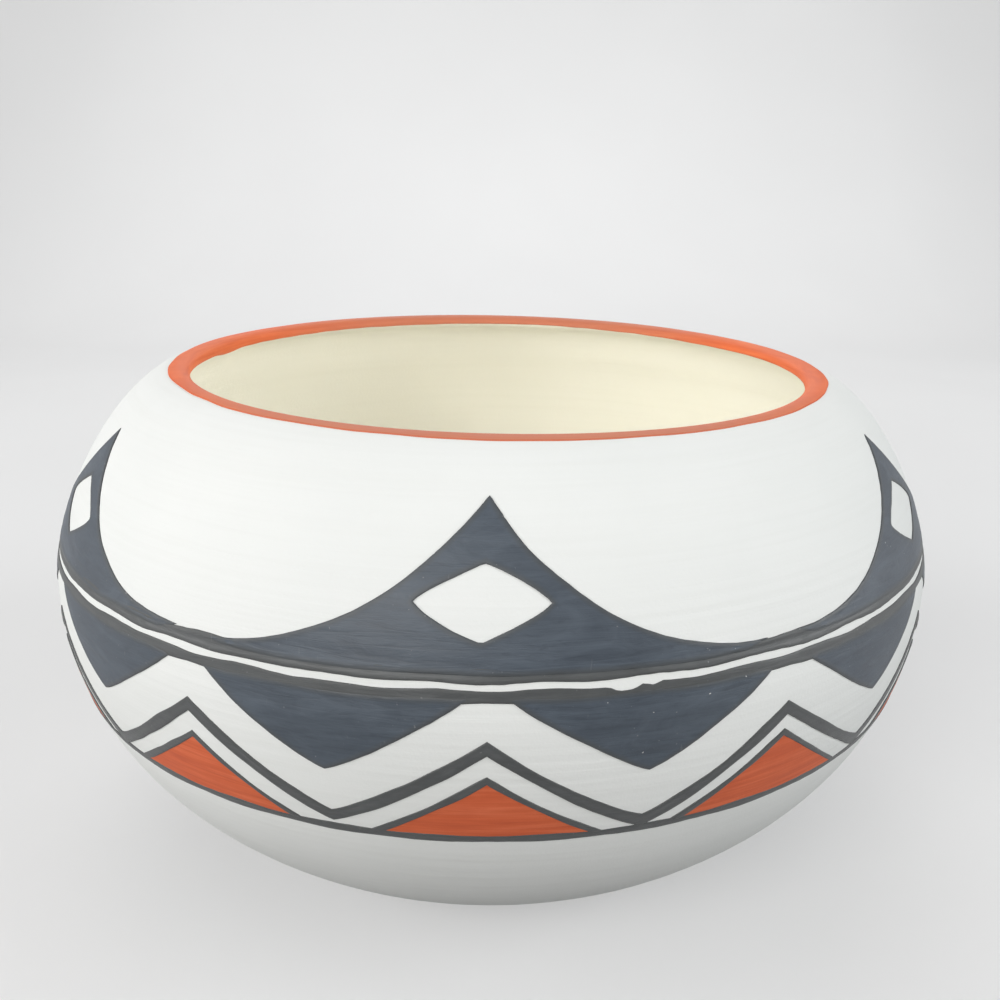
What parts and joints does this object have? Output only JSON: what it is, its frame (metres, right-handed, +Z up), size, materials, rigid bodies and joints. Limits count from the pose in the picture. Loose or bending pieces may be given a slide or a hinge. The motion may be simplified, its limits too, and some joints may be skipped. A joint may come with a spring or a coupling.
{
  "type": "planter bowl",
  "caption": "Round squat pottery bowl for a plant, with an in-curved wide mouth, a flat foot ring, a white slip coat, an orange lip band and painted black and orange figures.",
  "frame": {"origin": "middle of the foot ring's underside, on the surface that the bowl stands on", "axes": "+Z up along the turning axis, -Y towards the side that the picture shows"},
  "size_m": [0.1514, 0.1514, 0.0843],
  "materials": {
    "cream_clay": "bare fired clay, matte",
    "white_slip": "matte white slip with fine turning lines",
    "orange_paint": "matte brushed paint",
    "black_paint": "satin brushed paint"
  },
  "bodies": {
    "root": {"clay_bowl": "cream_clay", "white_slip_coat": "white_slip", "orange_lip_band": "orange_paint", "upper_black_line": "black_paint", "lower_black_line": "black_paint", "bottom_black_line": "black_paint", "zigzag_black_line": "black_paint", "shoulder_peak_01": "black_paint", "shoulder_peak_02": "black_paint", "shoulder_peak_03": "black_paint", "shoulder_peak_04": "black_paint", "shoulder_peak_05": "black_paint", "shoulder_peak_06": "black_paint", "black_tooth_01": "black_paint", "black_tooth_02": "black_paint", "black_tooth_03": "black_paint", "black_tooth_04": "black_paint", "black_tooth_05": "black_paint", "black_tooth_06": "black_paint", "black_tooth_07": "black_paint", "black_tooth_08": "black_paint", "black_tooth_09": "black_paint", "black_tooth_10": "black_paint", "black_tooth_11": "black_paint", "black_tooth_12": "black_paint", "orange_tooth_01": "orange_paint", "orange_tooth_02": "orange_paint", "orange_tooth_03": "orange_paint", "orange_tooth_04": "orange_paint", "orange_tooth_05": "orange_paint", "orange_tooth_06": "orange_paint", "orange_tooth_07": "orange_paint", "orange_tooth_08": "orange_paint", "orange_tooth_09": "orange_paint", "orange_tooth_10": "orange_paint", "orange_tooth_11": "orange_paint", "orange_tooth_12": "orange_paint"}
  },
  "joints": []
}
